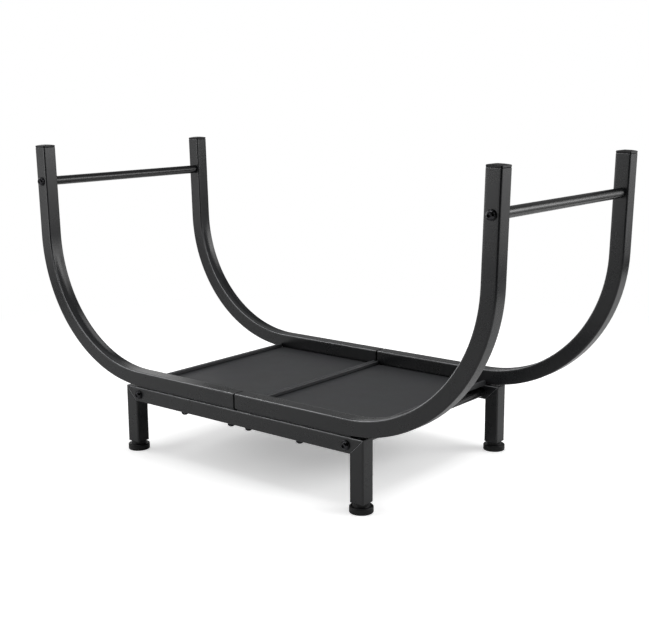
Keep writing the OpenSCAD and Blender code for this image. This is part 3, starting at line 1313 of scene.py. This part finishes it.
@dataclass
class ArmScrews:
    """Screws from below through rail and sheet into the arms, with their washers and nuts."""

    layout: RackLayout
    screw: DomedScrew = DomedScrew(Thread(5.0, 0.8), 30.0, 9.5, 2.8, 3.0)
    washer: float = 10.0
    washer_hole: float = 5.4
    washer_height: float = 1.2
    spring: float = 9.2
    spring_height: float = 1.5
    spring_slot: float = 1.2
    spring_lift: float = 0.2
    nut_flats: float = 8.0
    nut_hole: float = 5.1
    nut_height: float = 4.0
    nut_chamfer: float = 0.35
    turn_by_corner: float = 29.0
    turn_by_seat: float = 13.0

    def build(self) -> None:
        """Makes the screws, both kinds of washer and the nuts."""
        layout = self.layout
        screws, washers, springs, nuts = Skin(), Skin(), Skin(), Skin()
        flat = washer_rings(self.washer, self.washer_hole, self.washer_height)
        nut_z = layout.rail_top + layout.sheet + layout.tube_wall
        head_drop = self.washer_height + self.spring_height
        for number, x in enumerate(layout.arm_screws_x):
            for place, corner in enumerate(CORNERS):
                washers.loft(flat, layout.below_rail(corner, x), closed=True)
                springs.loft(self.spring_rings(), layout.below_rail(corner, x, self.washer_height))
                turned = self.turn_by_corner * place + self.turn_by_seat * number
                self.screw.add(screws, layout.below_rail(corner, x, head_drop), turned)
                seat = corner.turn @ Matrix.Translation((x, -layout.row_y, nut_z))
                nuts.loft(self.nut_rings(), seat, closed=True)
        screws.make(Piece("domed_arm_screws", ("arm_screws",), BLACK_SCREW))
        washers.make(Piece("rolled_arm_washers", ("arm_washers",), BLACK_SCREW))
        springs.make(Piece("split_arm_spring_washers", ("arm_spring_washers",), BLACK_SCREW))
        nuts.make(Piece("hexagon_arm_nuts", ("arm_nuts",), ZINC))

    def spring_rings(self, steps: int = 40) -> list[Ring]:
        """Gives one turn of square wire, pressed almost flat.

        Args:
            steps: how many sections round the turn.

        Returns:
            The wire's sections from one cut end to the other.
        """
        outer, inner = self.spring / 2, self.washer_hole / 2
        tall = self.spring_height - self.spring_lift
        slack = math.asin(self.spring_slot / 2 / ((outer + inner) / 2))
        rings = []
        for step in range(steps + 1):
            turn = slack + (math.tau - 2 * slack) * step / steps
            low = self.spring_lift * step / steps
            high = low + tall
            section = [
                (inner, low + 0.1),
                (inner + 0.1, low),
                (outer - 0.15, low),
                (outer, low + 0.15),
                (outer, high - 0.15),
                (outer - 0.15, high),
                (inner + 0.1, high),
                (inner, high - 0.1),
            ]
            rings.append([polar(radius, turn, height) for radius, height in section])
        return rings

    def nut_rings(self, count: int = 36) -> list[Ring]:
        """Gives a nut with turned-down corners and a countersunk hole.

        Args:
            count: how many points round.

        Returns:
            The closed rings, from the hole round the outside and back.
        """
        hole, flats, tall = self.nut_hole / 2, self.nut_flats, self.nut_height
        return [
            round_ring(hole, 0.5, count),
            round_ring(hole + 0.4, 0.0, count),
            hex_ring(flats, 0.0, count, flats / 2 + 0.05),
            hex_ring(flats, self.nut_chamfer, count),
            hex_ring(flats, tall - self.nut_chamfer, count),
            hex_ring(flats, tall, count, flats / 2 + 0.05),
            round_ring(hole + 0.4, tall, count),
            round_ring(hole, tall - 0.5, count),
        ]


@dataclass
class LevellingFeet:
    """Feet that screw in and out of the legs: moulded pads, threaded stems and the inserts."""

    layout: RackLayout
    pad: float = 28.8
    pad_height: float = 8.0
    pad_edge: float = 1.5
    neck: float = 20.0
    gap: float = 0.2
    bore: float = 8.12
    pocket_flats: float = 13.24
    pocket_height: float = 5.0
    thread: Thread = Thread(8.0, 1.25)
    head_flats: float = 13.0
    head_height: float = 4.0
    stem_top: float = 36.0
    stem_tip: float = 1.0
    insert_side: float = 17.5
    insert_corner: float = 0.7
    insert_height: float = 18.0

    def build(self) -> None:
        """Makes pad, stem and insert at each corner."""
        layout = self.layout
        for corner in CORNERS:
            at = corner.name
            axis = corner.turn @ Matrix.Translation((layout.leg_x, -layout.row_y, 0))
            pad, stem, insert = Skin(), Skin(), Skin()
            pad.loft(self.pad_rings(), axis, closed=True)
            stem.loft(self.head_rings(), axis)
            stem.loft(self.shank_rings(), axis)
            insert.loft(self.insert_rings(), axis, closed=True)
            pad.make(Piece(f"turned_pad_{at}", (f"pad_{at}",), BLACK_PLASTIC, f"foot_{at}"))
            stem.make(Piece(f"threaded_stem_{at}", (f"stem_{at}",), ZINC, f"foot_{at}"))
            insert.make(Piece(f"moulded_insert_{at}", (f"insert_{at}",), BLACK_PLASTIC))

    def pad_rings(self, count: int = 72) -> list[Ring]:
        """Gives the pad from its bore, round the hexagon pocket, base and rim, up the neck.

        Args:
            count: how many points round.

        Returns:
            The closed rings.
        """
        bore, wide, edge = self.bore / 2, self.pad / 2, self.pad_edge
        neck, top, tall = self.neck / 2, self.layout.leg_end - self.gap, self.pad_height
        rings = [
            round_ring(bore, self.pocket_height, count),
            hex_ring(self.pocket_flats, self.pocket_height, count),
            hex_ring(self.pocket_flats, 0.4, count),
        ]
        # The base stands on two rims with a groove between them.
        base = [
            (8.2, 0.0),
            (9.4, 0.0),
            (9.8, 0.9),
            (11.4, 0.9),
            (11.8, 0.0),
            (13.3, 0.0),
            (wide - 0.35, 0.2),
            (wide, 0.8),
            (wide, 2.4),
            (wide, tall - edge - 1.2),
        ]
        rounding = [
            (wide - edge + edge * math.cos(turn), tall - edge + edge * math.sin(turn))
            for turn in (math.radians(15 * step) for step in range(7))
        ]
        throat = [
            (neck + 1.4, tall),
            (neck + 0.75, tall + 0.03),
            (neck + 0.3, tall + 0.25),
            (neck + 0.05, tall + 0.7),
            (neck, tall + 1.2),
            (neck, top - 0.6),
            (neck - 0.18, top - 0.18),
            (neck - 0.6, top),
            (bore + 0.5, top),
            (bore, top - 0.5),
        ]
        return rings + lathe(base + rounding + throat, count)

    def head_rings(self, count: int = 36) -> list[Ring]:
        """Gives the stem's hexagon head with turned-down corners.

        Args:
            count: how many points round.

        Returns:
            The rings from its underside up.
        """
        flats, low = self.head_flats, self.pocket_height - self.head_height
        return [
            hex_ring(flats, low, count, flats / 2 - 0.1),
            hex_ring(flats, low + 0.5, count),
            hex_ring(flats, self.pocket_height - 0.02, count),
        ]

    def shank_rings(self, count: int = 24) -> list[Ring]:
        """Gives the stem's threaded shank with a chamfered tip.

        Args:
            count: how many points round.

        Returns:
            The rings from its head up.
        """
        rings = self.thread.rings(self.pocket_height - 0.2, self.stem_top, count, rows=5)
        tip = self.thread.diameter / 2 - self.stem_tip
        return [*rings, round_ring(tip, self.stem_top + self.stem_tip, count)]

    def insert_rings(self) -> list[Ring]:
        """Gives the insert that is pushed into the leg, tapered at its top.

        Returns:
            The closed rings, from the bore round the outside and back.
        """
        low = self.layout.leg_end
        high = low + self.insert_height
        side, corner, bore = self.insert_side, self.insert_corner, self.bore / 2
        outline = square_ring(side, corner, low)
        return [
            round_like(outline, bore, low + 0.6),
            round_like(outline, bore + 0.6, low),
            square_ring(side - 0.8, corner, low),
            square_ring(side, corner, low + 0.5),
            square_ring(side, corner, high - 2.0),
            square_ring(side - 1.2, corner, high),
            round_like(outline, bore + 0.6, high),
            round_like(outline, bore, high - 0.6),
        ]


# Studio


@dataclass(frozen=True)
class SoftBox:
    """A soft box: its bearing seen from the rack, its place, size and brightness.

    The bearing is in degrees from +X towards +Y, lengths are in metres, and a radiance of 1
    is as bright as white paper in plain light.
    """

    name: str
    bearing: float
    distance: float
    middle: float
    width: float
    height: float
    radiance: float
    highest_aim: float = 0.9

    def hang(self) -> bpy.types.Object:
        """Hangs the box, facing the rack.

        Returns:
            The lamp.
        """
        light = bpy.data.lights.new(self.name, "AREA")
        light.shape = "RECTANGLE"
        light.size, light.size_y = self.width, self.height
        light.energy = self.radiance * math.pi * self.width * self.height
        lamp = put_in_scene(self.name, light)
        lamp.location = polar(self.distance, math.radians(self.bearing), self.middle)
        aim = Vector((0, 0, min(self.middle, self.highest_aim))) - lamp.location
        lamp.rotation_euler = aim.to_track_quat("-Z", "Y").to_euler()
        lamp.visible_camera = False
        LOG.info("%s hangs", self.name)
        return lamp


@dataclass
class Studio:
    """Pale floor, pale backdrop, soft boxes, black flags and the dim light of the room.

    Lengths are in metres, bearings in degrees from +X towards +Y. For the camera only the floor
    glows, which paints a soft shadow under the rack: the glow is weaker there than further out. It
    turns white between white_from and white_to. The room is dimmer on dim_side and overhead.
    """

    floor_reach: float = 6.0
    floor_colour: str = "#e7e7e7"
    lift_in_painted_shadow: float = 0.34
    lift_rim: float = 0.52
    painted_shadow_pool: tuple[float, float] = (0.20, 0.16)
    painted_shadow_from: float = 0.15
    white_from: float = 0.62
    white_to: float = 1.15
    room: float = 0.24
    dim_share: float = 0.25
    dim_side: float = 310.0
    dim_full: float = 0.85
    dim_overhead: tuple[float, float] = (42.0, 62.0)
    backdrop_top: float = 5.0
    backdrop_fade: float = 0.4
    flag_colour: str = "#0c0c0c"
    flag_radius: float = 1.25
    flag_steps: int = 72
    low_flag: float = 0.11
    tall_flag: float = 0.8
    tall_flag_spread: float = 42.0
    middle_flag: float = 0.45
    middle_flag_from: float = 60.0
    middle_flag_to: float = 95.0
    boxes: tuple[SoftBox, ...] = (
        SoftBox("right_back_high_box", 24.0, 2.2, 1.55, 1.3, 1.0, 3.15),
        SoftBox("right_bar_box", 41.6, 1.81, 0.75, 0.8, 0.7, 4.2),
        SoftBox("left_front_box", 234.0, 1.88, 0.36, 0.8, 0.6, 3.8),
        SoftBox("left_back_box", 160.0, 2.2, 1.05, 1.5, 2.0, 0.8),
        SoftBox("left_edge_strip", 200.0, 1.5, 1.65, 1.2, 0.3, 5.0),
        SoftBox("overhead_box", 0.0, 0.0, 2.3, 1.6, 1.6, 2.8),
    )

    def build(self) -> None:
        """Lays the floor, sets the room's light, stands the flags and hangs the soft boxes."""
        self.lay_floor()
        self.set_room()
        self.stand_flags()
        for box in self.boxes:
            box.hang()

    @staticmethod
    def seen_directly(tree: bpy.types.NodeTree) -> bpy.types.Node:
        """Tells the rays of the camera, of gloss and of clear material from those of light.

        Args:
            tree: the material's or the world's nodes.

        Returns:
            A node that gives 1 for those rays and 0 for the others.
        """
        path = add_node(tree, "ShaderNodeLightPath").outputs
        mirrored = add_node(
            tree,
            "ShaderNodeMath",
            {"operation": "MAXIMUM"},
            {0: path["Is Glossy Ray"], 1: path["Is Transmission Ray"]},
        )
        return add_node(
            tree,
            "ShaderNodeMath",
            {"operation": "MAXIMUM"},
            {0: path["Is Camera Ray"], 1: mirrored},
        )

    def lay_floor(self) -> bpy.types.Object:
        """Lays the floor, which takes the rack's shadow.

        Returns:
            The floor, which isn't part of the rack.
        """
        reach = self.floor_reach
        mesh = bpy.data.meshes.new("studio_floor")
        corners = [(-reach, -reach, 0), (reach, -reach, 0), (reach, reach, 0), (-reach, reach, 0)]
        mesh.from_pydata(corners, [], [(0, 1, 2, 3)])
        mesh.materials.append(self.floor_paint())
        floor = put_in_scene("studio_floor", mesh)
        return floor

    def floor_paint(self) -> bpy.types.Material:
        """Makes pale matt paint with a painted shadow round the rack, and pure white further out.

        Returns:
            The floor's material.
        """
        paint = bpy.data.materials.new("matt_white_floor_paint")
        # The floor's glow reaches only the eye, so no light is looked for on it.
        paint.cycles.emission_sampling = "NONE"
        tree = empty_tree(paint)
        camera = add_node(tree, "ShaderNodeLightPath").outputs["Is Camera Ray"]
        seen = self.seen_directly(tree)
        place = add_node(tree, "ShaderNodeTexCoord").outputs["Object"]
        away = add_node(tree, "ShaderNodeVectorMath", {"operation": "LENGTH"}, {0: place})
        fade = add_node(
            tree,
            "ShaderNodeMapRange",
            {"interpolation_type": "SMOOTHSTEP"},
            {
                "Value": away.outputs["Value"],
                "From Min": self.white_from,
                "From Max": self.white_to,
            },
        )
        # Painted shadow: the camera's glow is weaker in an oval under the rack.
        squeezed = add_node(
            tree, "ShaderNodeVectorMath", {"operation": "DIVIDE"}, {0: place, 1: (*self.painted_shadow_pool, 1.0)}
        )
        outward = add_node(tree, "ShaderNodeVectorMath", {"operation": "LENGTH"}, {0: squeezed})
        rim = add_node(
            tree,
            "ShaderNodeMapRange",
            {"interpolation_type": "SMOOTHSTEP"},
            {
                "Value": outward.outputs["Value"],
                "From Min": self.painted_shadow_from,
                "To Min": self.lift_in_painted_shadow,
                "To Max": self.lift_rim,
            },
        )
        lift = add_node(tree, "ShaderNodeMath", {"operation": "MULTIPLY"}, {0: camera, 1: rim})
        colour = add_node(
            tree,
            "ShaderNodeMix",
            {"data_type": "RGBA"},
            {MIX_SHARE: seen, MIX_FIRST: linear(self.floor_colour), MIX_SECOND: linear("#ffffff")},
        )
        matt = add_node(
            tree, "ShaderNodeBsdfDiffuse", inputs={"Color": colour.outputs[MIX_RESULT]}
        )
        glow = add_node(tree, "ShaderNodeEmission", inputs={"Strength": lift})
        near = add_node(tree, "ShaderNodeAddShader", inputs={0: matt, 1: glow})
        white = add_node(tree, "ShaderNodeEmission")
        far = add_node(tree, "ShaderNodeMath", {"operation": "MULTIPLY"}, {0: seen, 1: fade})
        shown = add_node(tree, "ShaderNodeMixShader", inputs={0: far, 1: near, 2: white})
        add_node(tree, "ShaderNodeOutputMaterial", inputs={"Surface": shown})
        return paint

    def flag_height(self, bearing: float) -> float:
        """Gives the flags' height at a bearing.

        Args:
            bearing: the bearing.

        Returns:
            The height, low except on the camera's side and behind the rack's right end.
        """
        if self.middle_flag_from <= bearing <= self.middle_flag_to:
            return self.middle_flag
        away = abs((bearing - self.dim_side + 180) % 360 - 180)
        return self.tall_flag if away < self.tall_flag_spread else self.low_flag

    def stand_flags(self) -> bpy.types.Object:
        """Stands black flags round the floor.

        Only gloss sees them. They give flat faces their dark middle, and rounded corners and
        domes their dark line.

        Returns:
            The flags, which aren't part of the rack.
        """
        points, faces = [], []
        for step in range(self.flag_steps + 1):
            bearing = 360 * step / self.flag_steps
            for height in (0.0, self.flag_height(bearing)):
                points.append(polar(self.flag_radius, math.radians(bearing), height))
            if step:
                last = 2 * step
                faces.append((last - 2, last, last + 1, last - 1))
        mesh = bpy.data.meshes.new("studio_flags")
        mesh.from_pydata(points, [], faces)
        cloth = bpy.data.materials.new("matt_black_flag_cloth")
        tree = empty_tree(cloth)
        matt = add_node(tree, "ShaderNodeBsdfDiffuse", inputs={"Color": linear(self.flag_colour)})
        add_node(tree, "ShaderNodeOutputMaterial", inputs={"Surface": matt})
        mesh.materials.append(cloth)
        flags = put_in_scene("studio_flags", mesh)
        flags.visible_camera = flags.visible_diffuse = flags.visible_shadow = False
        return flags

    def set_room(self) -> None:
        """Lights the room evenly and puts white behind everything the camera sees.

        Gloss and clear material see the white backdrop too, which stands low round the rack.
        """
        world = bpy.data.worlds.new("studio_room")
        bpy.context.scene.world = world
        tree = empty_tree(world)
        camera = add_node(tree, "ShaderNodeLightPath").outputs["Is Camera Ray"]
        seen = self.seen_directly(tree)
        direction = add_node(tree, "ShaderNodeTexCoord").outputs["Generated"]
        upwards = add_node(tree, "ShaderNodeSeparateXYZ", inputs={0: direction}).outputs["Z"]
        over, under = (
            math.sin(math.radians(self.backdrop_top * share))
            for share in (1 + self.backdrop_fade, 1 - self.backdrop_fade)
        )
        low = add_node(
            tree,
            "ShaderNodeMapRange",
            inputs={"Value": upwards, "From Min": over, "From Max": under},
        )
        towards = math.radians(self.dim_side)
        sideways = add_node(
            tree,
            "ShaderNodeVectorMath",
            {"operation": "DOT_PRODUCT"},
            {0: direction, 1: (math.cos(towards), math.sin(towards), 0)},
        )
        facing = add_node(
            tree,
            "ShaderNodeMapRange",
            {"interpolation_type": "SMOOTHSTEP"},
            {
                "Value": sideways.outputs["Value"],
                "From Max": self.dim_full,
                "To Min": self.room,
                "To Max": self.room * self.dim_share,
            },
        )
        from_up, to_up = (math.sin(math.radians(angle)) for angle in self.dim_overhead)
        ceiling = add_node(
            tree,
            "ShaderNodeMapRange",
            {"interpolation_type": "SMOOTHSTEP"},
            {
                "Value": upwards,
                "From Min": from_up,
                "From Max": to_up,
                "To Min": 1.0,
                "To Max": self.dim_share,
            },
        )
        level = add_node(
            tree, "ShaderNodeMath", {"operation": "MULTIPLY"}, {0: facing, 1: ceiling}
        )
        lit, white = (
            add_node(
                tree,
                "ShaderNodeBackground",
                inputs={"Color": linear("#ffffff"), "Strength": strength},
            )
            for strength in (level, 1.0)
        )
        mirrored = add_node(tree, "ShaderNodeMath", {"operation": "MULTIPLY"}, {0: seen, 1: low})
        share = add_node(
            tree, "ShaderNodeMath", {"operation": "MAXIMUM"}, {0: camera, 1: mirrored}
        )
        either = add_node(tree, "ShaderNodeMixShader", inputs={0: share, 1: lit, 2: white})
        add_node(tree, "ShaderNodeOutputWorld", inputs={"Surface": either})


@dataclass
class PhotoCamera:
    """Camera that sees the rack as the photograph does. Its place is in metres."""

    frame_width_px: float = 649
    frame_height_px: float = 644
    focal_px: float = 1128.24
    centre_x_px: float = 325.83
    centre_y_px: float = 311.96
    yaw: float = 39.421
    pitch: float = 11.224
    roll: float = -0.412
    distance: float = 1.49119
    target: tuple[float, float, float] = (0.019546, 0.0, 0.192181)
    sensor_mm: float = 36.0
    nearest: float = 0.05
    furthest: float = 50.0

    def build(self) -> None:
        """Places the camera and makes it the scene's."""
        yaw, pitch, roll = (math.radians(angle) for angle in (self.yaw, self.pitch, self.roll))
        ahead = Vector(
            (-math.sin(yaw) * math.cos(pitch), math.cos(yaw) * math.cos(pitch), -math.sin(pitch))
        )
        level = Vector((math.cos(yaw), math.sin(yaw), 0))
        above = level.cross(ahead)
        across = level * math.cos(roll) + above * math.sin(roll)
        upright = above * math.cos(roll) - level * math.sin(roll)
        lens = bpy.data.cameras.new("photo_camera")
        lens.sensor_width = self.sensor_mm
        lens.lens = self.focal_px / self.frame_width_px * self.sensor_mm
        lens.shift_x = (self.frame_width_px / 2 - self.centre_x_px) / self.frame_width_px
        lens.shift_y = (self.centre_y_px - self.frame_height_px / 2) / self.frame_width_px
        lens.clip_start, lens.clip_end = self.nearest, self.furthest
        camera = put_in_scene("photo_camera", lens)
        turn = Matrix((across, upright, -ahead)).transposed().to_4x4()
        place = Matrix.Translation(Vector(self.target) - ahead * self.distance)
        camera.matrix_world = place @ turn
        bpy.context.scene.camera = camera


def main() -> None:
    """Builds the studio, the camera and the dressed rack."""
    logging.basicConfig(level=logging.INFO, format="%(message)s")
    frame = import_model()
    layout = RackLayout()
    PhotoCamera().build()
    Studio().build()
    BentArms(layout).build()
    WeldedBases(layout).build()
    DeckSheets(frame["nodes"]).build()
    PostCaps(layout).build()
    RoundBars(layout).build()
    BarScrews(layout).build()
    ArmScrews(layout).build()
    LevellingFeet(layout).build()
    bpy.context.scene.view_settings.view_transform = "Standard"


if __name__ == "__main__":
    main()
